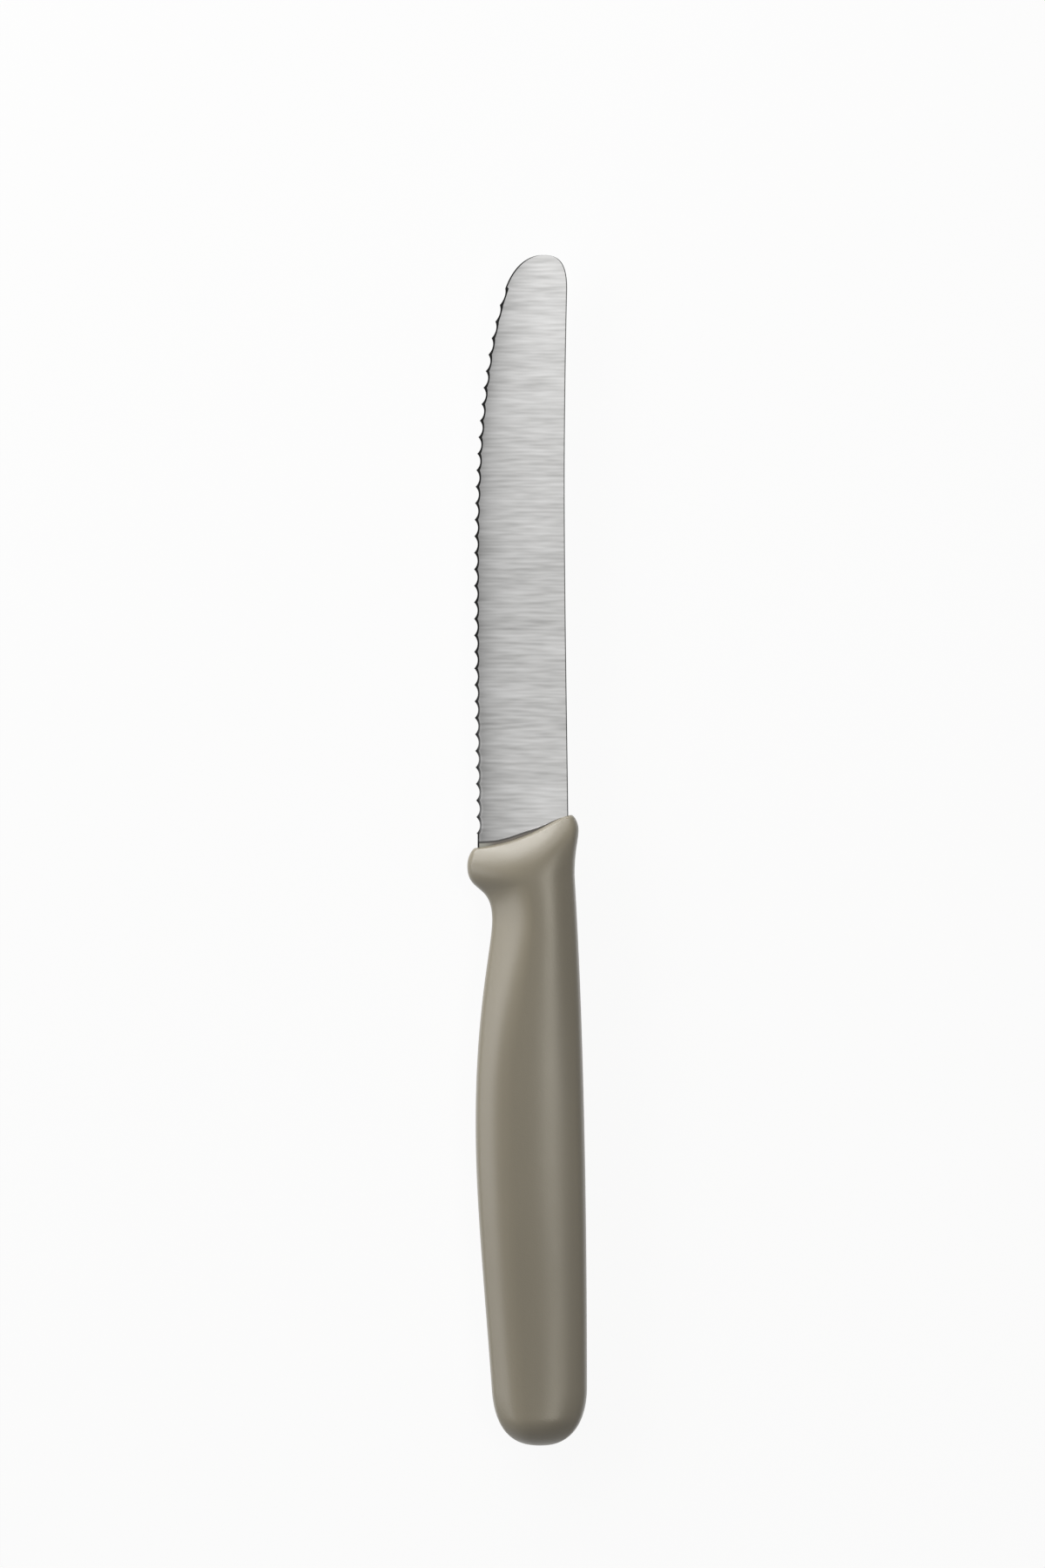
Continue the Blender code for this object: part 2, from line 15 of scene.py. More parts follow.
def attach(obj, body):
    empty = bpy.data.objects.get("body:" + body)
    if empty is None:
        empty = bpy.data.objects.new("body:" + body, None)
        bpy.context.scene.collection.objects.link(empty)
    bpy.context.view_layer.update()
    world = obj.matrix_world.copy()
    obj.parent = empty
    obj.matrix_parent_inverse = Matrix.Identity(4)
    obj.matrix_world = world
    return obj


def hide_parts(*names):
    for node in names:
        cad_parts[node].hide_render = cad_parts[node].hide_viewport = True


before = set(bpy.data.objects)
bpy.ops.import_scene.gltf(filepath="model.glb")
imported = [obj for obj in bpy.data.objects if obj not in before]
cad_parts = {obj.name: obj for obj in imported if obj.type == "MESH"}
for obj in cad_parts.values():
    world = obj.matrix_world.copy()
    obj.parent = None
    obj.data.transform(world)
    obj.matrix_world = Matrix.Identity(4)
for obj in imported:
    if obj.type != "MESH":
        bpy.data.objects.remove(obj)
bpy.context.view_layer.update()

# Blade, seen on its flat. Offsets are measured from the centre line, to the edge or to the spine.
BLADE_REACH = 0.1096
HEEL_OFFSET = 0.00914
BELLY_OFFSET = 0.00981
BELLY_AT = 0.0433
TIP_EDGE_OFFSET = 0.00405
TIP_EDGE_SLOPE = 0.36
TIP_LENGTH = 0.0062
TIP_APEX_OFFSET = 0.0031
SPINE_OFFSET = 0.00760
SPINE_WAIST_OFFSET = 0.00695
SPINE_WAIST_AT = 0.068
SPINE_TIP_OFFSET = 0.00740
TEETH_TO = BLADE_REACH - TIP_LENGTH

# Teeth
TEETH_FROM = 0.0027
TEETH = 33
TOOTH_DEPTH = 0.00065
SHALLOW_TOOTH_DEPTH = 0.00040
SHALLOW_TEETH = 5
HEEL_STEP = 0.0002
HEEL_STEP_LENGTH = 0.00012

# Blade, seen on its edge
STOCK_THICKNESS = 0.0015
SPINE_THICKNESS = 0.0014
SPINE_TIP_THICKNESS = 0.0009
THIN_THICKNESS = 0.00027
ROLL_WIDTH = 0.0045
ROLL_DROP = 0.00003
ROLL_REACH = 1.5
SPINE_CHAMFER = 0.00018
EDGE_FLAT = 0.00004
EDGE_RAISE = 0.00004
BEVEL_AT_POINT = 0.00066
BEVEL_AT_GULLET = 0.00030
HOLLOW_AT_POINT = 0.00045
HOLLOW_AT_GULLET = 0.0013
HOLLOW_SINK = 0.00002
RUN_OUT_AT_EDGE = 0.00105
RUN_OUT_AT_MIDDLE = 0.00070
RUN_OUT_STEP = 0.00016
LEAN_LENGTH = 0.0081
TIP_FLAT = 0.00001

# Tang, hidden in the handle
HIDDEN_FROM = 0.0012
SHOULDER_DEPTH = 0.0046
TANG_EDGE_OFFSET = 0.0040
TANG_SPINE_OFFSET = 0.0052
TANG_END_EDGE_OFFSET = 0.0032
TANG_END_SPINE_OFFSET = 0.0046
TANG_REACH = 0.072

# Handle outline
HANDLE_LENGTH = 0.1104
RIM_RISE = 0.00612
RIM_LIP = 0.0006
GUARD_OFFSET = 0.011066
GUARD_AT = 0.00326
NECK_OFFSET = 0.00646
NECK_AT = 0.01326
GRIP_OFFSET = 0.00952
GRIP_AT = 0.0510
BUTT_EDGE_OFFSET = 0.00653
BUTT_TAPER = 0.072
BUTT_ROUND_LENGTH = 0.0104
BUTT_APEX_OFFSET = 0.00241
LOBE_OFFSET = 0.00952
LOBE_RISE = 0.00334
THUMB_OFFSET = 0.00879
THUMB_AT = 0.00486
BACK_OFFSET = 0.011076
BACK_ROUND_LENGTH = 0.0107

# Handle thickness, behind the rim and along the grip
MOUTH_THICKNESS = 0.0012
LIP_HEIGHT = 0.00175
LIP_SHARE = 0.05
DOME_POWER = 2.2
HANDLE_THICKNESS = 0.0118
FULL_THICKNESS_TO = 0.0620
BUTT_WAIST_THICKNESS = 0.0111
BUTT_WAIST_AT = 0.090
BUTT_THICKNESS = 0.0116
BUTT_EDGE_ROUND = 0.0056
BUTT_FLARE = 0.05
BUTT_CAP_GAP = 0.00002

# Cross sections of the handle. They lean with the rim as far as the collar and are square to the
# handle from STRAIGHT_FROM on. A crown is a share of the width, from the edge's side. A flank is
# how much of its height is wall and how fast the dome above it flattens out.
COLLAR_AT = 0.0081
COLLAR_LEAN = 0.0053
STRAIGHT_FROM = 0.0160
NECK_SECTION_AT = 0.010
GRIP_SECTION_AT = 0.045
CROWN_AT_NECK = 0.48
CROWN_AT_GRIP = 0.385
EDGE_FLANK_AT_NECK = (0.20, 1.5)
EDGE_FLANK_AT_GRIP = (0.42, 2.25)
SPINE_FLANK = (0.51, 2.5)
RIM_FLANK = (0.60, 2.6)
RIM_FADE = 1.6
WALL_ROUND = 0.08

PLACE = Matrix.Translation(
    ((GUARD_OFFSET - BACK_OFFSET) / 2.0, (HANDLE_LENGTH - BLADE_REACH) / 2.0, HANDLE_THICKNESS / 2.0)
)

# Steps of the meshes. The blade's columns run from the edge to the spine and back underneath.
CURVE_STEPS = 400
TIP_STEPS = 36
TOOTH_STEPS = 14
HEEL_SHARES = (1.0, 0.66, 0.33)
RUN_OUT_ROWS = 5
BEVEL_COLUMNS = 2
ROLL_COLUMNS = 8
FACE_COLUMNS = 8
CORNER_ANGLES = (30.0, 60.0, 90.0)
LOWER_ROLL_COLUMNS = 5
HOLLOW_COLUMNS = 6
UPPER_COLUMNS = BEVEL_COLUMNS + ROLL_COLUMNS + FACE_COLUMNS
SPINE_COLUMNS = 2 * len(CORNER_ANGLES) + 1
COLLAR_RINGS = 40
NECK_RINGS = 40
GRIP_RINGS = 80
BUTT_RINGS = 40
SIDE_SAMPLES = 241
SIDE_STEPS = 22

MILLIMETRES_PER_METRE = 1000.0


def curve(start, end, leave, arrive, pulls):
    """Points of a cubic curve that leaves and arrives in given directions, as (x, y) steps.

    The pulls say how strongly it follows each direction, as shares of its reach that way.
    """
    start, end = np.array(start, float), np.array(end, float)
    handles = []
    for direction, pull in zip((leave, arrive), pulls):
        direction = np.array(direction, float) / np.hypot(*direction)
        handles.append(direction * pull * abs((end - start) @ direction))
    first, second = start + handles[0], end - handles[1]
    t = np.linspace(0.0, 1.0, CURVE_STEPS)[:, None]
    s = 1.0 - t
    return s**3 * start + 3 * s**2 * t * first + 3 * s * t**2 * second + t**3 * end


def x_along(outline, y):
    """The x of an outline at y."""
    order = np.argsort(outline[:, 1], kind="stable")
    return np.interp(y, outline[order, 1], outline[order, 0])


def smooth(value):
    """Goes from 0 to 1 with soft ends."""
    value = np.clip(value, 0.0, 1.0)
    return value * value * (3.0 - 2.0 * value)


def onward(start, end, count):
    """As many even steps from start to end, without start itself."""
    return np.linspace(start, end, count + 1)[1:]


RIM_CURVE = curve((0.0, 0.0), (1.0, 1.0), (0.94, 0.34), (0.94, 0.33), (0.54, 0.19))


def rim_rise(across):
    """How far the slanting rim has risen, from the edge side (0, 0) to the spine side (1, 1)."""
    return np.interp(across, RIM_CURVE[:, 0], RIM_CURVE[:, 1])


def tooth_line():
    """The line through the tooth points, from the heel to the last tooth before the tip."""
    heel, belly = (-HEEL_OFFSET - HEEL_STEP, TEETH_FROM), (-BELLY_OFFSET, BELLY_AT)
    tip = (-TIP_EDGE_OFFSET, TEETH_TO)
    low = curve(heel, belly, (-0.01, 1.0), (0.0, 1.0), (0.26, 0.45))
    high = curve(belly, tip, (0.0, 1.0), (TIP_EDGE_SLOPE, 1.0), (0.243, 0.312))
    return np.vstack([low, high])


def tip_edge_outline():
    """The tip's outline from the last tooth up to its apex."""
    start, apex = (-TIP_EDGE_OFFSET, TEETH_TO), (TIP_APEX_OFFSET, BLADE_REACH)
    return curve(start, apex, (TIP_EDGE_SLOPE, 1.0), (1.0, 0.0), (0.36, 0.56))


def tip_spine_outline():
    """The tip's outline from the spine up to its apex."""
    start, apex = (SPINE_TIP_OFFSET, TEETH_TO), (TIP_APEX_OFFSET, BLADE_REACH)
    return curve(start, apex, (0.0, 1.0), (-1.0, 0.0), (0.76, 0.67))


def spine_outline():
    """The spine, which bows in a little between the handle and the tip."""
    rim, waist = (SPINE_OFFSET, RIM_RISE), (SPINE_WAIST_OFFSET, SPINE_WAIST_AT)
    tip = (SPINE_TIP_OFFSET, TEETH_TO)
    low = curve(rim, waist, (-0.012, 1.0), (0.0, 1.0), (0.3, 0.32))
    high = curve(waist, tip, (0.0, 1.0), (0.025, 1.0), (0.28, 0.28))
    return np.vstack([low, high])


def ground_height(x, y, line_x):
    """Half the blade's thickness where it is ground: a flat wedge that rolls off to the edge."""
    taper = (SPINE_THICKNESS - SPINE_TIP_THICKNESS) / 2.0 / TEETH_TO
    spine_at_belly = SPINE_THICKNESS / 2.0 - taper * BELLY_AT
    slope = (spine_at_belly - THIN_THICKNESS / 2.0) / (SPINE_OFFSET + BELLY_OFFSET)
    wedge = SPINE_THICKNESS / 2.0 - slope * (SPINE_OFFSET - x) - taper * y
    into_roll = np.clip(1.0 - (x - line_x) / ROLL_WIDTH, 0.0, ROLL_REACH)
    return wedge - ROLL_DROP * into_roll**2


# Where the blade is narrow, its zones keep within these shares of its width
BEVEL_LIMIT = 0.1
HOLLOW_LIMIT = 0.2
ROLL_LIMITS = (0.35, 0.7)


class BladeRow:
    """One row of points round the blade, from the edge over the visible face and back underneath.

    It knows where the edge, the spine and the line of the tooth points cross it, how wide bevel and
    hollow are there, and how it runs along the blade. Blunt takes the edge away, as on the tip's
    outline, and sheet turns the ground steel into plain sheet.
    """

    def __init__(self, edge_x, spine_x, line_x, bevel, hollow, along, blunt=0.0, sheet=0.0):
        width = spine_x - edge_x
        bevel_x = edge_x + min(bevel, BEVEL_LIMIT * width)
        hollow_x = edge_x + min(hollow, HOLLOW_LIMIT * width)
        roll_from, roll_to = (edge_x + limit * width for limit in ROLL_LIMITS)
        roll_x = np.clip(line_x + ROLL_WIDTH, roll_from, roll_to)
        shoulder_x = spine_x - SPINE_CHAMFER
        self.line_x, self.bevel_x = line_x, bevel_x

        def face(x):
            """Half the thickness at x, ground or, where sheet is 1, of the plain sheet."""
            ground = ground_height(x, along(x), line_x)
            return ground + (STOCK_THICKNESS / 2.0 - ground) * sheet

        flat, raise_by = EDGE_FLAT / 2.0, EDGE_RAISE
        plain = max(blunt, sheet)
        upper_edge = (raise_by + flat) + (face(edge_x) - raise_by - flat) * plain
        lower_edge = (raise_by - flat) + (-face(edge_x) - raise_by + flat) * plain
        upper = [(edge_x, upper_edge)]
        for share in onward(0.0, 1.0, BEVEL_COLUMNS):
            x = edge_x + (bevel_x - edge_x) * share
            upper.append((x, upper_edge + (face(bevel_x) - upper_edge) * share))
        upper += [(x, face(x)) for x in onward(bevel_x, roll_x, ROLL_COLUMNS)]
        upper += [(x, face(x)) for x in onward(roll_x, shoulder_x, FACE_COLUMNS)]
        top = face(shoulder_x)
        for angle in CORNER_ANGLES:
            turn = math.radians(angle)
            x = shoulder_x + SPINE_CHAMFER * math.sin(turn)
            upper.append((x, top - SPINE_CHAMFER * (1.0 - math.cos(turn))))
        lower = [(x, -z) for x, z in reversed(upper[UPPER_COLUMNS:])]
        lower += [(x, -face(x)) for x in onward(shoulder_x, roll_x, FACE_COLUMNS)]
        lower += [(x, -face(x)) for x in onward(roll_x, hollow_x, LOWER_ROLL_COLUMNS)]
        foot = -face(hollow_x)
        for share in onward(0.0, 1.0, HOLLOW_COLUMNS):
            x = hollow_x + (edge_x - hollow_x) * share
            sink = 4.0 * HOLLOW_SINK * share * (1.0 - share) * (1.0 - plain)
            lower.append((x, foot + (lower_edge - foot) * share + sink))
        self.points = [(x, along(x), z) for x, z in upper + lower]


def leaning(y, rise, edge_x, spine_x):
    """How a row runs over the blade: square to it, or leaning with the rim by its rise."""
    return lambda x: y + rise * rim_rise((x - edge_x) / (spine_x - edge_x))


def tip_rows():
    """Rows from the apex down to the last tooth, where the blunt outline turns into the edge."""
    edge, spine = tip_edge_outline(), tip_spine_outline()
    rows = []
    for step in range(TIP_STEPS, 0, -1):
        y = TEETH_TO + TIP_LENGTH * math.sin(math.pi / 2.0 * step / TIP_STEPS)
        inside = min(y, BLADE_REACH - TIP_FLAT)
        line_x = TIP_EDGE_SLOPE * (y - TEETH_TO) - TIP_EDGE_OFFSET
        blunt = smooth((y - TEETH_TO) / (TIP_LENGTH / 2.0))
        edge_x, spine_x = x_along(edge, inside), x_along(spine, inside)
        along = leaning(y, 0.0, edge_x, spine_x)
        rows.append(BladeRow(edge_x, spine_x, line_x, BEVEL_AT_GULLET, HOLLOW_AT_POINT, along, blunt))
    return rows


def row_lean(y):
    """The rows of the blade lie square to it, and lean over to the rim's slant at the heel."""
    return RIM_RISE * np.clip(1.0 - y / LEAN_LENGTH, 0.0, 1.0)


def tooth_rows():
    """Rows along the teeth, from the tip to the heel."""
    line, spine = tooth_line(), spine_outline()
    pitch = (TEETH_TO - TEETH_FROM) / TEETH
    rows = []
    for step in range(TEETH * TOOTH_STEPS + 1):
        tooth = min(step // TOOTH_STEPS, TEETH - 1)
        share = step / TOOTH_STEPS - tooth
        y = TEETH_TO - (tooth + share) * pitch
        depth = SHALLOW_TOOTH_DEPTH
        depth += (TOOTH_DEPTH - SHALLOW_TOOTH_DEPTH) * min(tooth / SHALLOW_TEETH, 1.0)
        radius = (pitch**2 / 4.0 + depth**2) / (2.0 * depth)
        inset = math.sqrt(radius**2 - (pitch * (share - 0.5)) ** 2) - (radius - depth)
        gullet = inset / depth
        bevel = BEVEL_AT_POINT + (BEVEL_AT_GULLET - BEVEL_AT_POINT) * gullet
        hollow = HOLLOW_AT_POINT + (HOLLOW_AT_GULLET - HOLLOW_AT_POINT) * gullet
        rise = row_lean(y)
        line_x, spine_x = x_along(line, y), x_along(spine, y + rise)
        along = leaning(y, rise, line_x + inset, spine_x)
        rows.append(BladeRow(line_x + inset, spine_x, line_x, bevel, hollow, along))
    return rows


# Places across the blade, each with how far ahead of the rim the grinding ends there
RUN_OUT_LINE = (
    (-HEEL_OFFSET, RUN_OUT_AT_EDGE),
    (-0.0056, RUN_OUT_AT_MIDDLE),
    (-0.0008, RUN_OUT_AT_MIDDLE),
    (0.0016, 0.00032),
    (0.0031, 0.0),
    (SPINE_OFFSET, -0.0005),
)


def run_out(x):
    """How far ahead of the rim the grinding ends: it closes up to the rim towards the spine."""
    places, ahead = zip(*RUN_OUT_LINE)
    return np.interp(x, places, ahead)


def heel_rows():
    """Rows from the last tooth into the handle: a plain edge, then the run-out to the full sheet."""
    edge_x, spine_x = -HEEL_OFFSET, x_along(spine_outline(), RIM_RISE)
    rim_y = leaning(0.0, RIM_RISE, edge_x, spine_x)
    heel_from = TEETH_FROM - HEEL_STEP_LENGTH

    def row(along, sheet=0.0):
        return BladeRow(edge_x, spine_x, edge_x, BEVEL_AT_GULLET, HOLLOW_AT_POINT, along, sheet=sheet)

    def heel_row(share):
        y = heel_from * share + (RUN_OUT_AT_EDGE + RUN_OUT_STEP) * (1.0 - share)
        along = leaning(y, row_lean(y), edge_x, spine_x)
        return row(lambda x: max(along(x), rim_y(x) + run_out(x) + RUN_OUT_STEP * (1.0 + share)))

    def run_out_row(share):
        return row(lambda x: rim_y(x) + (run_out(x) + RUN_OUT_STEP * (1.0 - share)), smooth(share))

    rows = [heel_row(share) for share in HEEL_SHARES]
    rows += [run_out_row(share) for share in np.linspace(0.0, 1.0, RUN_OUT_ROWS)]
    rows.append(row(lambda x: rim_y(x) + min(run_out(x) * 0.5, 0.0), 1.0))
    rows.append(row(lambda x: rim_y(x) - HIDDEN_FROM, 1.0))
    return rows


def tang_outline():
    """The hidden tang, from the spine side round its end to the edge side."""
    return [
        (SPINE_OFFSET, RIM_RISE - SHOULDER_DEPTH),
        (TANG_SPINE_OFFSET, RIM_RISE - SHOULDER_DEPTH),
        (TANG_END_SPINE_OFFSET, -TANG_REACH),
        (-TANG_END_EDGE_OFFSET, -TANG_REACH),
        (-TANG_EDGE_OFFSET, -SHOULDER_DEPTH),
        (-HEEL_OFFSET, -SHOULDER_DEPTH),
    ]


def piece(name, build):
    """A piece of the knife: a mesh in its place that rides on the frame's body."""
    mesh = bpy.data.meshes.new(name)
    work = bmesh.new()
    build(work)
    bmesh.ops.recalc_face_normals(work, faces=work.faces)
    work.to_mesh(mesh)
    work.free()
    mesh.transform(PLACE)
    thing = bpy.data.objects.new(name, mesh)
    bpy.context.scene.collection.objects.link(thing)
    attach(thing, "root")
    return thing


def loft(work, rings, slot_of=lambda column: 0):
    """Joins rings of as many points each with quads, and returns the rings' vertices."""
    made = [[work.verts.new(point) for point in ring] for ring in rings]
    for ring, following in zip(made, made[1:]):
        for column in range(len(ring)):
            after = (column + 1) % len(ring)
            face = work.faces.new((ring[column], ring[after], following[after], following[column]))
            face.material_index = slot_of(column)
    return made


STEEL_FACE, GROUND_EDGE, SPINE_CORNER, SPINE_EDGE = 0, 1, 2, 3


def steel_slot(column):
    """Which finish a strip of the blade has, counted from the edge over the visible face."""
    if column < BEVEL_COLUMNS:
        return GROUND_EDGE
    if UPPER_COLUMNS <= column < UPPER_COLUMNS + SPINE_COLUMNS:
        return SPINE_EDGE if column == UPPER_COLUMNS + SPINE_COLUMNS // 2 else SPINE_CORNER
    return STEEL_FACE


def build_blade(work):
    """The blade, lofted from the tip to the handle, with three distances kept at its points."""
    rows = tip_rows() + tooth_rows() + heel_rows()
    from_edge = work.verts.layers.float.new("from_edge")
    from_bevel = work.verts.layers.float.new("from_bevel")
    ahead = work.verts.layers.float.new("from_run_out")
    made = loft(work, [row.points for row in rows], steel_slot)
    for row, ring in zip(rows, made):
        for vertex in ring:
            x, y, _ = vertex.co
            vertex[from_edge] = (x - row.line_x) * MILLIMETRES_PER_METRE
            vertex[from_bevel] = (x - row.bevel_x) * MILLIMETRES_PER_METRE
            across = (x + HEEL_OFFSET) / (SPINE_OFFSET + HEEL_OFFSET)
            vertex[ahead] = (y - RIM_RISE * rim_rise(across) - run_out(x)) * MILLIMETRES_PER_METRE
    work.faces.new(made[0])
    add_tang(work, made[-1])


def add_tang(work, last):
    """The flat tang, which goes on from the blade's last row inside the handle."""
    middle = UPPER_COLUMNS + len(CORNER_ANGLES) + 1
    upper, lower = last[:middle], last[middle:]
    half = STOCK_THICKNESS / 2.0
    top = [work.verts.new((x, y, half)) for x, y in tang_outline()]
    bottom = [work.verts.new((x, y, -half)) for x, y in tang_outline()]
    work.faces.new(upper + top)
    work.faces.new(lower + bottom[::-1])
    above = [upper[-1]] + top + [upper[0]]
    below = [lower[0]] + bottom + [lower[-1]]
    for index in range(len(above) - 1):
        work.faces.new((above[index], above[index + 1], below[index + 1], below[index]))


def edge_side_outline():
    """The handle's outline on the cutting edge's side, from the rim to the butt."""
    rim = (-(HEEL_OFFSET + RIM_LIP), 0.0)
    guard, neck, grip = (-GUARD_OFFSET, -GUARD_AT), (-NECK_OFFSET, -NECK_AT), (-GRIP_OFFSET, -GRIP_AT)
    side = (-BUTT_EDGE_OFFSET, -(HANDLE_LENGTH - BUTT_ROUND_LENGTH))
    apex = (BUTT_APEX_OFFSET, -HANDLE_LENGTH)
    down, taper = (0.0, -1.0), (BUTT_TAPER, -1.0)
    spans = [
        curve(rim, guard, (-0.84, -0.54), down, (0.19, 0.51)),
        curve(guard, neck, down, down, (0.53, 0.70)),
        curve(neck, grip, down, down, (0.135, 0.577)),
        curve(grip, side, down, taper, (0.29, 0.414)),
        curve(side, apex, taper, (1.0, 0.0), (0.65, 0.62)),
    ]
    return np.vstack(spans)


def spine_side_outline():
    """The handle's outline on the spine's side, from the rim to the butt."""
    rim = (SPINE_OFFSET + RIM_LIP, RIM_RISE)
    lobe, thumb = (LOBE_OFFSET, LOBE_RISE), (THUMB_OFFSET, -THUMB_AT)
    back = (BACK_OFFSET, -(HANDLE_LENGTH - BACK_ROUND_LENGTH))
    apex = (BUTT_APEX_OFFSET, -HANDLE_LENGTH)
    down = (0.0, -1.0)
    spans = [
        curve(rim, lobe, (0.98, -0.2), down, (0.3, 0.5)),
        curve(lobe, thumb, down, down, (0.24, 0.56)),
        curve(thumb, back, down, down, (0.018, 0.68)),
        curve(back, apex, down, (-1.0, 0.0), (0.43, 0.81)),
    ]
    return np.vstack(spans)


def half_thickness_line():
    """Half the handle's thickness along it, from the collar to the butt, as (half, y) points."""
    full, butt = HANDLE_THICKNESS / 2.0, BUTT_THICKNESS / 2.0
    waist = (BUTT_WAIST_THICKNESS / 2.0, -BUTT_WAIST_AT)
    rounding = (butt, -(HANDLE_LENGTH - BUTT_EDGE_ROUND))
    down, flare = (0.0, -1.0), (BUTT_FLARE, -1.0)
    spans = [
        np.array([(full, 0.0)]),
        curve((full, -FULL_THICKNESS_TO), waist, down, down, (0.4, 0.4)),
        curve(waist, rounding, down, flare, (0.4, 0.3)),
        curve(rounding, (0.0, -HANDLE_LENGTH), flare, (-1.0, 0.0), (0.72, 0.45)),
    ]
    return np.vstack(spans)


def evenly(points, count):
    """As many points spread evenly along an outline, its ends included."""
    points = np.array(points)
    lengths = np.concatenate([[0.0], np.cumsum(np.hypot(*np.diff(points, axis=0).T))])
    at = np.linspace(0.0, lengths[-1], count)
    return np.column_stack([np.interp(at, lengths, points[:, axis]) for axis in (0, 1)])


def handle_side(side_x, crown, half, flank):
    """One side of a cross section, from its outermost point up to the crown: a wall, then a dome."""
    wall, power = flank
    across = 1.0 - np.cos(np.linspace(0.0, math.pi / 2.0, SIDE_SAMPLES))
    into_wall = np.clip(across / WALL_ROUND, 0.0, 1.0)
    wall_rise = np.sqrt(1.0 - (1.0 - into_wall) ** 2)
    dome_rise = 1.0 - (1.0 - across) ** power
    rise = wall * wall_rise + (1.0 - wall) * dome_rise
    return evenly(np.column_stack([side_x + (crown - side_x) * across, half * rise]), SIDE_STEPS)


def section_shape(y):
    """Where a cross section's crown lies across it, and its flank on the edge's side."""
    to_grip = smooth((-y - NECK_SECTION_AT) / (GRIP_SECTION_AT - NECK_SECTION_AT))
    flank = [neck + (grip - neck) * to_grip for neck, grip in zip(EDGE_FLANK_AT_NECK, EDGE_FLANK_AT_GRIP)]
    return CROWN_AT_NECK + (CROWN_AT_GRIP - CROWN_AT_NECK) * to_grip, flank


def handle_ring(edge_point, spine_point, half, at_rim):
    """A closed cross section of the handle, from its edge side over the top and back underneath."""
    (edge_x, edge_y), (spine_x, spine_y) = edge_point, spine_point
    width = spine_x - edge_x
    crown_across, edge_flank = section_shape((edge_y + spine_y) / 2.0)
    crown = edge_x + crown_across * width
    sides = []
    for side_x, flank in ((edge_x, edge_flank), (spine_x, SPINE_FLANK)):
        flank = [value + (rim_value - value) * at_rim for value, rim_value in zip(flank, RIM_FLANK)]
        sides.append([tuple(point) for point in handle_side(side_x, crown, half, flank)])
    upper = sides[0] + sides[1][-2::-1]
    lower = [(x, -z) for x, z in reversed(upper[1:-1])]
    rise = spine_y - edge_y
    return [(x, edge_y + rise * rim_rise((x - edge_x) / width), z) for x, z in upper + lower]


def dome_half(share):
    """Half the handle's thickness behind the rim: a steep lip, then a dome that flattens out."""
    mouth, full = MOUTH_THICKNESS / 2.0, HANDLE_THICKNESS / 2.0
    lip = math.sqrt(1.0 - (1.0 - min(share / LIP_SHARE, 1.0)) ** 2)
    dome = 1.0 - (1.0 - share) ** DOME_POWER
    return mouth + LIP_HEIGHT * lip + (full - mouth - LIP_HEIGHT) * dome


def handle_rings():
    """Cross sections of the handle. They lean with the rim and straighten out along the neck."""
    edge_side, spine_side = edge_side_outline(), spine_side_outline()
    thickness = half_thickness_line()

    def ring(edge_y, spine_y, half, at_rim=0.0):
        edge_point = (x_along(edge_side, edge_y), edge_y)
        spine_point = (x_along(spine_side, spine_y), spine_y)
        return handle_ring(edge_point, spine_point, half, at_rim)

    rings = []
    for step in range(COLLAR_RINGS):
        share = 1.0 - math.cos(math.pi / 2.0 * step / COLLAR_RINGS)
        spine_y = RIM_RISE - (RIM_RISE + COLLAR_AT - COLLAR_LEAN) * share
        rings.append(ring(-COLLAR_AT * share, spine_y, dome_half(share), (1.0 - share) ** RIM_FADE))
    for y in grip_stations():
        lean = COLLAR_LEAN * np.clip((STRAIGHT_FROM + y) / (STRAIGHT_FROM - COLLAR_AT), 0.0, 1.0)
        rings.append(ring(y, y + lean, x_along(thickness, y)))
    return rings


def grip_stations():
    """Where the cross sections behind the collar lie, closer together where the handle turns."""
    butt_from = HANDLE_LENGTH - max(BUTT_ROUND_LENGTH, BUTT_EDGE_ROUND)
    reach = HANDLE_LENGTH - BUTT_CAP_GAP - butt_from
    neck, grip = (COLLAR_AT, STRAIGHT_FROM, NECK_RINGS), (STRAIGHT_FROM, butt_from, GRIP_RINGS)
    stations = []
    for start, end, steps in (neck, grip):
        stations += [-(start + (end - start) * step / steps) for step in range(steps)]
    for angle in np.linspace(0.0, math.pi / 2.0, BUTT_RINGS):
        stations.append(-(butt_from + reach * math.sin(angle)))
    return stations


def build_handle(work):
    """The moulding, closed at the butt and, inside the steel, at the rim."""
    made = loft(work, handle_rings())
    rim = made[0]
    for index in range(len(rim) // 2):
        corners = [rim[index], rim[index + 1], rim[-index - 1], rim[-index]]
        work.faces.new(list(dict.fromkeys(corners)))
    work.faces.new(made[-1])


class Value:
    """A node's output. Expressions on values add the Math nodes that work them out."""

    def __init__(self, nodes, socket):
        self.nodes, self.socket = nodes, socket

    def math(self, operation, *values):
        return self.nodes.node("ShaderNodeMath", {"operation": operation}, dict(enumerate(values)))

    def __add__(self, other):
        return self.math("ADD", self, other)

    def __sub__(self, other):
        return self.math("SUBTRACT", self, other)

    def __rsub__(self, other):
        return self.math("SUBTRACT", other, self)

    def __mul__(self, other):
        return self.math("MULTIPLY", self, other)

    __radd__ = __add__
    __rmul__ = __mul__

    def exponent(self):
        return self.math("EXPONENT", self)

    def larger(self, other):
        return self.math("MAXIMUM", self, other)

    def ramp(self, start, end):
        """0 where the value is at start or beyond it, and 1 at end, with soft ends."""
        settings = {"interpolation_type": "SMOOTHSTEP"}
        sockets = {"Value": self, "From Min": min(start, end), "From Max": max(start, end)}
        if start > end:
            sockets |= {"To Min": 1.0, "To Max": 0.0}
        return self.nodes.node("ShaderNodeMapRange", settings, sockets)


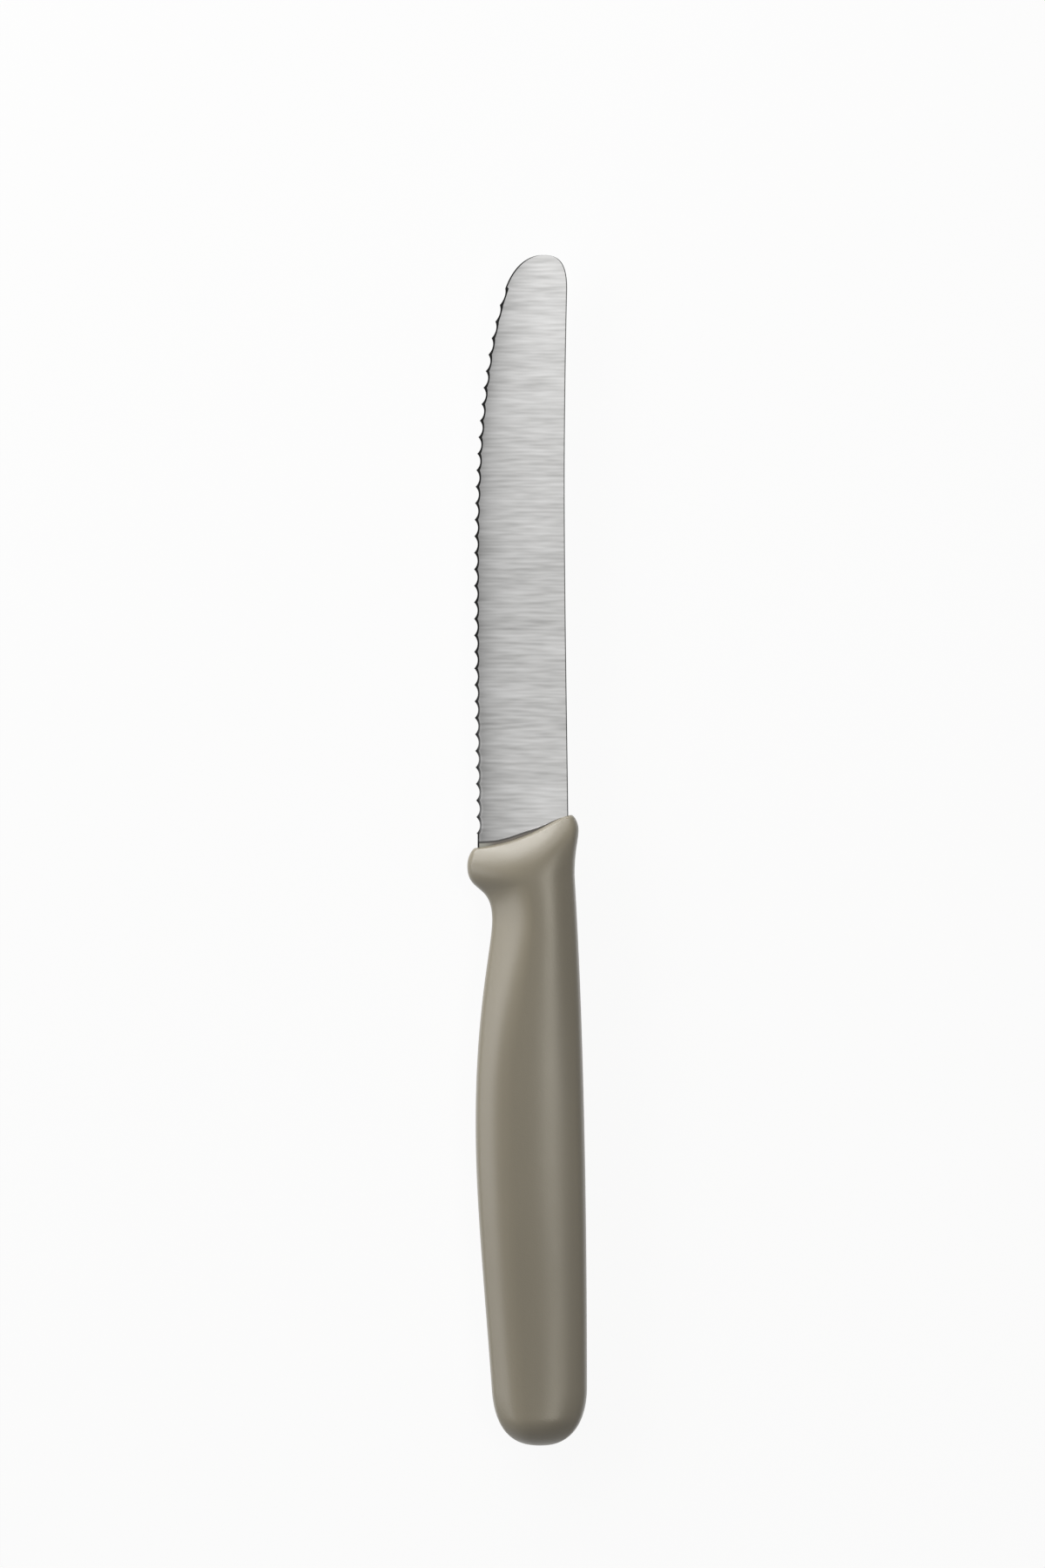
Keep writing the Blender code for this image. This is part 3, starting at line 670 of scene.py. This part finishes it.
class Nodes:
    """The nodes of a material or of the world, all added by one method."""

    def __init__(self, owner):
        owner.use_nodes = True
        self.tree = owner.node_tree

    def node(self, kind, settings=None, sockets=None, output=0):
        """Adds a node, with its settings first and then its sockets' values or links."""
        made = self.tree.nodes.new(kind)
        for name, value in (settings or {}).items():
            setattr(made, name, value)
        for name, value in (sockets or {}).items():
            self.connect(made.inputs[name], value)
        return Value(self, made.outputs[output])

    def connect(self, socket, value):
        if isinstance(value, Value):
            self.tree.links.new(value.socket, socket)
        else:
            socket.default_value = value


# A Mix node has sockets of one name for numbers and for colours, so these are the numbers of the sockets
MIX_SHARE, MIX_FIRST_COLOUR, MIX_SECOND_COLOUR, MIX_RESULT_COLOUR = 0, 6, 7, 2


class Look(Nodes):
    """A procedural material that ends in a Principled shader."""

    def __init__(self, name):
        self.material = bpy.data.materials.new(name)
        super().__init__(self.material)
        self.shader = self.tree.nodes["Principled BSDF"]
        self.place = self.node("ShaderNodeTexCoord", output="Object")

    def mix(self, share, first, second):
        """A colour between two."""
        sockets = {MIX_SHARE: share, MIX_FIRST_COLOUR: first, MIX_SECOND_COLOUR: second}
        return self.node("ShaderNodeMix", {"data_type": "RGBA"}, sockets, MIX_RESULT_COLOUR)

    def noise(self, stretch, detail=2.0, seed=0.0):
        """Noise around nought, with so many waves a metre along x, y and z."""
        scaled = self.node("ShaderNodeVectorMath", {"operation": "MULTIPLY"}, {0: self.place, 1: stretch})
        moved = self.node("ShaderNodeVectorMath", {"operation": "ADD"}, {0: scaled, 1: (seed,) * 3})
        noise = self.node("ShaderNodeTexNoise", {}, {"Vector": moved, "Scale": 1.0, "Detail": detail})
        return noise - 0.5

    def distance(self, name):
        """A distance along the surface in millimetres, kept at the mesh's points."""
        return self.node("ShaderNodeAttribute", {"attribute_name": name}, output="Fac")

    def set(self, **sockets):
        for name, value in sockets.items():
            self.connect(self.shader.inputs[name.replace("_", " ")], value)

    def bump(self, height, depth):
        self.set(Normal=self.node("ShaderNodeBump", {}, {"Height": height, "Distance": depth}))


BLACK, WHITE = (0.0, 0.0, 0.0, 1.0), (1.0, 1.0, 1.0, 1.0)

# The grinding lines: waves a metre along x, y and z, and how much of the pattern each kind makes
FINE_WAVES, FINE_SHARE = (165.0, 1900.0, 0.0), 0.60
SHORT_WAVES, SHORT_SHARE = (360.0, 2500.0, 0.0), 0.26
BROAD_WAVES, BROAD_SHARE = (55.0, 320.0, 0.0), 0.62
LINE_GLOSS = 0.25
LINE_DEPTH = 0.000002

FACE_TONE, FACE_ROUGHNESS = 0.50, 0.345
# The bevel is painted near black: painted dark reflection, greyer in the gullets by the handle.
PAINTED_DARK_BEVEL_TONE, BEVEL_GULLET_TONE = 0.016, 0.055
# The spine's corners are painted near black: painted dark reflection, lighter away from the handle.
PAINTED_DARK_CORNER_TONE, CORNER_FRONT_TONE = 0.022, 0.05
CORNER_ROUGHNESS = 0.4
SPINE_TONE, SPINE_ROUGHNESS = 0.34, 0.38
# The plain sheet at the rim: its own unground steel, darkened with painted shade, and a painted dark line
# at the run-out.
SHEET_IN_PAINTED_SHADE, SHEET_IN_PAINTED_SHADE_AT_TEETH = (0.150, 0.138, 0.126, 1.0), (0.26, 0.26, 0.235, 1.0)
PAINTED_RUN_OUT_SHADE = (0.075, 0.072, 0.070, 1.0)
SHEET_EXTRA_ROUGHNESS = 0.2

# Painted light, lighter in steps towards the tip: millimetres ahead of the run-out, from and to, and how
# much
PAINTED_LIGHT_AT_HEEL = 0.90
PAINTED_LIGHT_TO_TIP = ((46.0, 62.0, 0.07), (58.0, 102.0, 0.17), (94.0, 108.0, 0.14))

# Painted shade beside the teeth, how wide it fades and what it loses at the tip, and the painted
# highlight by the bevel
PAINTED_TEETH_SHADE, PAINTED_TEETH_SHADE_WIDTH, PAINTED_TEETH_SHADE_LOST = 0.62, 3.05, 0.22
PAINTED_BEVEL_HIGHLIGHT = 0.28

# Zones in millimetres, each from where it starts to where it is full. First those ahead of the run-out.
SHEET_ZONE = (0.19, 0.10)
PAINTED_RUN_OUT_SHADE_ZONE = (-0.34, -0.08)
HEEL_ZONE = (40.0, 8.0)
HEEL_BEVEL_ZONE = (38.0, 10.0)
FRONT_CORNER_ZONE = (12.0, 45.0)
TIP_ZONE = (88.0, 101.0)

# Then those behind the line of the tooth points, and the one behind the bevel
GULLET_ZONE = (0.25, 0.75)
TEETH_ZONE = (3.6, 0.8)
PAINTED_BEVEL_HIGHLIGHT_ZONE = (0.45, 0.12)


class Steel(Look):
    """Steel ground across the blade: short fine lines over soft bands that run from edge to spine."""

    def __init__(self, name, tone, roughness):
        super().__init__(name)
        fine = self.noise(FINE_WAVES, detail=0.0)
        short = self.noise(SHORT_WAVES, detail=0.0, seed=7.3)
        broad = self.noise(BROAD_WAVES, detail=2.0, seed=3.1)
        self.lines = fine * FINE_SHARE + short * SHORT_SHARE + broad * BROAD_SHARE
        self.tone = tone * (1.0 + self.lines)
        self.roughness = roughness - self.lines * LINE_GLOSS

    def grey(self, tone):
        return self.mix(tone, BLACK, WHITE)

    def finish(self, colour, roughness):
        self.set(Base_Color=colour, Metallic=1.0, Roughness=roughness)
        self.bump(self.lines, LINE_DEPTH)
        return self.material


def blade_face():
    """The blade's flat faces: painted shade towards the teeth and painted light towards the tip, then the
    plain sheet at the handle, partly in painted shade.
    """
    steel = Steel("brushed_steel", FACE_TONE, FACE_ROUGHNESS)
    from_edge, ahead = steel.distance("from_edge"), steel.distance("from_run_out")
    # Painted light: the face is painted lighter towards the tip.
    painted_light_to_tip = PAINTED_LIGHT_AT_HEEL
    for start, end, gain in PAINTED_LIGHT_TO_TIP:
        painted_light_to_tip = painted_light_to_tip + ahead.ramp(start, end) * gain
    # Painted shade: the face is painted darker beside the teeth, less so at the tip.
    shade = PAINTED_TEETH_SHADE - ahead.ramp(*TIP_ZONE) * PAINTED_TEETH_SHADE_LOST
    painted_shade_to_teeth = (from_edge * (-1.0 / PAINTED_TEETH_SHADE_WIDTH)).exponent() * shade
    # Painted highlight: a thin lighter line beside the bevel, near the heel.
    painted_highlight_by_bevel = steel.distance("from_bevel").ramp(*PAINTED_BEVEL_HIGHLIGHT_ZONE) * ahead.ramp(*HEEL_ZONE)
    tone = steel.tone * painted_light_to_tip * (1.0 - painted_shade_to_teeth) * (1.0 + painted_highlight_by_bevel * PAINTED_BEVEL_HIGHLIGHT)
    # Painted shade: the sheet at the rim is painted dark, darkest in a line along the run-out.
    sheet = steel.mix(from_edge.ramp(*TEETH_ZONE), SHEET_IN_PAINTED_SHADE, SHEET_IN_PAINTED_SHADE_AT_TEETH)
    sheet_in_painted_shade = steel.mix(ahead.ramp(*PAINTED_RUN_OUT_SHADE_ZONE), sheet, PAINTED_RUN_OUT_SHADE)
    plain = ahead.ramp(*SHEET_ZONE)
    colour = steel.mix(plain, steel.grey(tone), sheet_in_painted_shade)
    return steel.finish(colour, steel.roughness + plain * SHEET_EXTRA_ROUGHNESS)


def ground_edge():
    """The bevel of the teeth, in painted dark reflection: darkest at their points and greyer in the
    gullets next to the handle.
    """
    steel = Steel("ground_edge", PAINTED_DARK_BEVEL_TONE, CORNER_ROUGHNESS)
    gullet = steel.distance("from_edge").ramp(*GULLET_ZONE)
    near_handle = steel.distance("from_run_out").ramp(*HEEL_BEVEL_ZONE)
    tone = steel.tone + gullet * near_handle * BEVEL_GULLET_TONE
    return steel.finish(steel.grey(tone), steel.roughness)


def spine_corner():
    """The rounded corners along the spine and round the tip, in painted dark reflection, darkest next to
    the handle.
    """
    steel = Steel("spine_corner", PAINTED_DARK_CORNER_TONE, CORNER_ROUGHNESS)
    tone = steel.tone + steel.distance("from_run_out").ramp(*FRONT_CORNER_ZONE) * CORNER_FRONT_TONE
    return steel.finish(steel.grey(tone), steel.roughness)


def spine_edge():
    """The stamped flat of the spine."""
    steel = Steel("spine_edge", SPINE_TONE, SPINE_ROUGHNESS)
    return steel.finish(steel.grey(steel.tone), steel.roughness)


PLASTIC_DARKER, PLASTIC_LIGHTER = (0.219, 0.192, 0.138, 1.0), (0.245, 0.215, 0.154, 1.0)
PLASTIC_SPECULAR, PLASTIC_ROUGHNESS = 0.75, 0.33

# The plastic's noises: waves a metre, share in the change of colour, and change of roughness
GRAIN_WAVES, GRAIN_SHARE, GRAIN_GLOSS = (5200.0, 5200.0, 5200.0), 0.25, 0.08
CLOUD_WAVES, CLOUD_SHARE, CLOUD_GLOSS = (120.0, 60.0, 120.0), 0.5, 0.1
FLOW_WAVES, FLOW_SHARE = (500.0, 22.0, 500.0), 0.5
GRAIN_DEPTH = 0.000012


def moulded_plastic():
    """Warm grey plastic with a satin skin: a faint grain and hardly any change of colour."""
    look = Look("moulded_plastic")
    grain = look.noise(GRAIN_WAVES, detail=1.0)
    cloud = look.noise(CLOUD_WAVES, detail=2.0, seed=5.0)
    flow = look.noise(FLOW_WAVES, detail=2.0, seed=9.0)
    share = 0.5 + cloud * CLOUD_SHARE + flow * FLOW_SHARE + grain * GRAIN_SHARE
    look.set(
        Base_Color=look.mix(share, PLASTIC_DARKER, PLASTIC_LIGHTER),
        Specular_IOR_Level=PLASTIC_SPECULAR,
        Roughness=PLASTIC_ROUGHNESS + cloud * CLOUD_GLOSS + grain * GRAIN_GLOSS,
    )
    look.bump(grain, GRAIN_DEPTH)
    return look.material


BLADE_CREASE_ANGLE = 8.0
HANDLE_CREASE_ANGLE = 50.0


def make_blade():
    """The blade, with its finishes in the order of the slots above."""
    blade = piece("steel_blade", build_blade)
    for material in (blade_face(), ground_edge(), spine_corner(), spine_edge()):
        blade.data.materials.append(material)
    blade.data.shade_smooth()
    blade.data.set_sharp_from_angle(angle=math.radians(BLADE_CREASE_ANGLE))
    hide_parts("blade")


def make_handle():
    """The handle, in one finish all over."""
    handle = piece("moulded_handle", build_handle)
    handle.data.materials.append(moulded_plastic())
    handle.data.shade_smooth()
    handle.data.set_sharp_from_angle(angle=math.radians(HANDLE_CREASE_ANGLE))
    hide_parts("handle")


CAMERA_HEIGHT = 1.2
FRAME_HEIGHT = 0.2898
FRAME_CENTRE = (-0.00085, 0.01224)
SENSOR_HEIGHT = 36.0


def make_camera():
    """A long lens straight above the knife, with the tip at the top of the picture."""
    data = bpy.data.cameras.new("camera")
    data.sensor_fit = "VERTICAL"
    data.sensor_height = SENSOR_HEIGHT
    data.lens = SENSOR_HEIGHT * CAMERA_HEIGHT / FRAME_HEIGHT
    camera = bpy.data.objects.new("camera", data)
    camera.location = (*FRAME_CENTRE, HANDLE_THICKNESS / 2.0 + CAMERA_HEIGHT)
    bpy.context.scene.collection.objects.link(camera)
    bpy.context.scene.camera = camera


def seen_white(nodes):
    """1 for camera, glossy and transmission rays, which see the white around the knife."""
    kinds = "Is Camera Ray", "Is Glossy Ray", "Is Transmission Ray"
    camera, glossy, through = [nodes.node("ShaderNodeLightPath", output=kind) for kind in kinds]
    return camera.larger(glossy).larger(through)


def make_world():
    """White where it is seen or mirrored. The lamps alone light the knife."""
    world = bpy.data.worlds.new("studio")
    bpy.context.scene.world = world
    nodes = Nodes(world)
    background = nodes.tree.nodes["Background"]
    background.inputs["Color"].default_value = WHITE
    nodes.connect(background.inputs["Strength"], seen_white(nodes))


FLOOR_REACH = 3.0
FLOOR_DROP = 0.00005
FLOOR_WHITE = (0.92, 0.92, 0.92, 1.0)
FLOOR_GLOW = 0.93


def make_floor():
    """A plain white floor that keeps a faint shadow."""
    mesh = bpy.data.meshes.new("floor")
    corners = [(x * FLOOR_REACH, y * FLOOR_REACH, 0.0) for x, y in ((-1, -1), (1, -1), (1, 1), (-1, 1))]
    mesh.from_pydata(corners, [], [(0, 1, 2, 3)])
    floor = bpy.data.objects.new("floor", mesh)
    floor.location.z = -FLOOR_DROP
    bpy.context.scene.collection.objects.link(floor)
    material = bpy.data.materials.new("white_floor")
    nodes = Nodes(material)
    paper = nodes.tree.nodes["Principled BSDF"]
    paper.inputs["Base Color"].default_value = FLOOR_WHITE
    paper.inputs["Roughness"].default_value = 0.9
    paper.inputs["Specular IOR Level"].default_value = 0.1
    glow = nodes.node("ShaderNodeEmission")
    lit_and_glowing = {0: seen_white(nodes) * FLOOR_GLOW, 1: Value(nodes, paper.outputs[0]), 2: glow}
    surface = nodes.node("ShaderNodeMixShader", {}, lit_and_glowing)
    nodes.connect(nodes.tree.nodes["Material Output"].inputs["Surface"], surface)
    mesh.materials.append(material)


NEUTRAL, WARM = (1.0, 1.0, 1.0), (1.0, 0.96, 0.85)
STRIP, SOFTBOX, SMALL_SOFTBOX = (0.5, 0.17), (0.45, 0.35), (0.4, 0.3)

# Each lamp's name, degrees round from +X and up from the floor, distance, size, power and tint
LAMPS = (
    ("corner_strip", 122.0, 7.0, 0.9, STRIP, 3.29, NEUTRAL),
    ("side_strip", 182.0, 8.0, 0.9, STRIP, 0.5, NEUTRAL),
    ("tip_strip", 92.0, 20.0, 0.9, STRIP, 1.89, NEUTRAL),
    ("left_softbox", 150.0, 27.0, 0.9, SOFTBOX, 2.54, NEUTRAL),
    ("corner_softbox", 120.0, 27.0, 0.9, SOFTBOX, 1.83, NEUTRAL),
    ("side_softbox", 184.0, 27.0, 0.9, SOFTBOX, 1.02, NEUTRAL),
    ("tip_softbox", 90.0, 44.0, 1.0, SOFTBOX, 0.78, NEUTRAL),
    ("right_softbox", 0.0, 66.0, 1.0, SMALL_SOFTBOX, 1.65, WARM),
)


def softbox(name, azimuth, height, distance, size, power, tint):
    """A soft lamp that looks at the knife."""
    data = bpy.data.lights.new(name, "AREA")
    data.shape = "RECTANGLE"
    data.size, data.size_y = size
    data.energy = power
    data.color = tint
    lamp = bpy.data.objects.new(name, data)
    flat, up = math.radians(azimuth), math.radians(height)
    towards = Vector((math.cos(flat) * math.cos(up), math.sin(flat) * math.cos(up), math.sin(up)))
    lamp.location = towards * distance
    lamp.rotation_euler = towards.to_track_quat("Z", "Y").to_euler()
    bpy.context.scene.collection.objects.link(lamp)


def make_light():
    """Soft light from the tip and the cutting edge's side, and from high over the spine."""
    for lamp in LAMPS:
        softbox(*lamp)


scene = bpy.context.scene
scene.view_settings.view_transform = "Standard"
make_camera()
make_world()
make_floor()
make_light()
make_blade()
make_handle()
